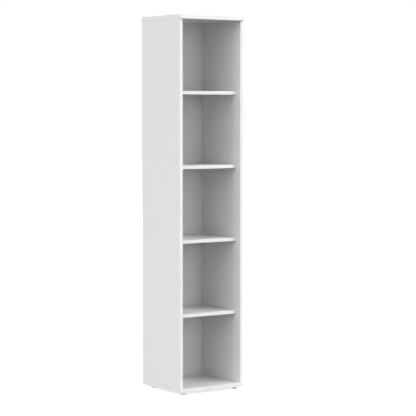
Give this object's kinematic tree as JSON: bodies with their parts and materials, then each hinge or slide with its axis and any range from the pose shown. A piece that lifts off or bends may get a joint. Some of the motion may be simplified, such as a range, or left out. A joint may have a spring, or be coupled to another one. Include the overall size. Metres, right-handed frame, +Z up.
{
  "type": "bookcase",
  "caption": "Tall narrow open bookcase in white boards: adjustable shelves on pins, thin back panel, overhanging top and base, small levelling feet.",
  "frame": {"origin": "on the floor, at the middle of the footprint of the top and base boards", "axes": "+Z up, the open front faces -Y, +X to the right of someone who looks at the front"},
  "size_m": [0.4, 0.365, 1.954],
  "materials": {
    "board": "white melamine-faced chipboard, fine satin texture",
    "edging": "white plastic edging, satin, small rounded edges",
    "back": "white lacquered hardboard, smooth in front",
    "pin_steel": "bright zinc-plated steel",
    "cam_zinc": "plain die-cast zinc, satin",
    "beech": "plain fluted beech dowel",
    "foot_plastic": "light grey moulded plastic, satin"
  },
  "bodies": {
    "case": {"side_left": "board", "side_left_edging": "edging", "side_right": "board", "side_right_edging": "edging", "base_board": "board", "base_board_edging": "edging", "top_board": "board", "top_board_edging": "edging", "back_panel": "back", "shelf_1_pin_left_front": "pin_steel", "shelf_1_pin_left_rear": "pin_steel", "shelf_1_pin_right_front": "pin_steel", "shelf_1_pin_right_rear": "pin_steel", "shelf_2_pin_left_front": "pin_steel", "shelf_2_pin_left_rear": "pin_steel", "shelf_2_pin_right_front": "pin_steel", "shelf_2_pin_right_rear": "pin_steel", "shelf_3_pin_left_front": "pin_steel", "shelf_3_pin_left_rear": "pin_steel", "shelf_3_pin_right_front": "pin_steel", "shelf_3_pin_right_rear": "pin_steel", "shelf_4_pin_left_front": "pin_steel", "shelf_4_pin_left_rear": "pin_steel", "shelf_4_pin_right_front": "pin_steel", "shelf_4_pin_right_rear": "pin_steel", "cam_base_left_front": "cam_zinc", "cam_bolt_base_left_front": "pin_steel", "cam_base_left_rear": "cam_zinc", "cam_bolt_base_left_rear": "pin_steel", "dowel_base_left": "beech", "cam_base_right_front": "cam_zinc", "cam_bolt_base_right_front": "pin_steel", "cam_base_right_rear": "cam_zinc", "cam_bolt_base_right_rear": "pin_steel", "dowel_base_right": "beech", "cam_top_left_front": "cam_zinc", "cam_bolt_top_left_front": "pin_steel", "cam_top_left_rear": "cam_zinc", "cam_bolt_top_left_rear": "pin_steel", "dowel_top_left": "beech", "cam_top_right_front": "cam_zinc", "cam_bolt_top_right_front": "pin_steel", "cam_top_right_rear": "cam_zinc", "cam_bolt_top_right_rear": "pin_steel", "dowel_top_right": "beech"},
    "foot_front_left_adjuster": {"foot_front_left": "foot_plastic"},
    "foot_front_right_adjuster": {"foot_front_right": "foot_plastic"},
    "foot_rear_left_adjuster": {"foot_rear_left": "foot_plastic"},
    "foot_rear_right_adjuster": {"foot_rear_right": "foot_plastic"},
    "shelf_1_board": {"shelf_1": "board", "shelf_1_edging": "edging"},
    "shelf_2_board": {"shelf_2": "board", "shelf_2_edging": "edging"},
    "shelf_3_board": {"shelf_3": "board", "shelf_3_edging": "edging"},
    "shelf_4_board": {"shelf_4": "board", "shelf_4_edging": "edging"}
  },
  "joints": [
    {"name": "shelf_1_pull_out", "type": "slide", "parent": "case", "child": "shelf_1_board", "axis": [0, -1, 0], "range_m": [0, 0.12]},
    {"name": "shelf_2_pull_out", "type": "slide", "parent": "case", "child": "shelf_2_board", "axis": [0, -1, 0], "range_m": [0, 0.12]},
    {"name": "shelf_3_pull_out", "type": "slide", "parent": "case", "child": "shelf_3_board", "axis": [0, -1, 0], "range_m": [0, 0.12]},
    {"name": "shelf_4_pull_out", "type": "slide", "parent": "case", "child": "shelf_4_board", "axis": [0, -1, 0], "range_m": [0, 0.12]},
    {"name": "foot_front_left_screw", "type": "slide", "parent": "case", "child": "foot_front_left_adjuster", "axis": [0, 0, -1], "range_m": [-0.002, 0.008]},
    {"name": "foot_front_right_screw", "type": "slide", "parent": "case", "child": "foot_front_right_adjuster", "axis": [0, 0, -1], "range_m": [-0.002, 0.008]},
    {"name": "foot_rear_left_screw", "type": "slide", "parent": "case", "child": "foot_rear_left_adjuster", "axis": [0, 0, -1], "range_m": [-0.002, 0.008]},
    {"name": "foot_rear_right_screw", "type": "slide", "parent": "case", "child": "foot_rear_right_adjuster", "axis": [0, 0, -1], "range_m": [-0.002, 0.008]}
  ]
}
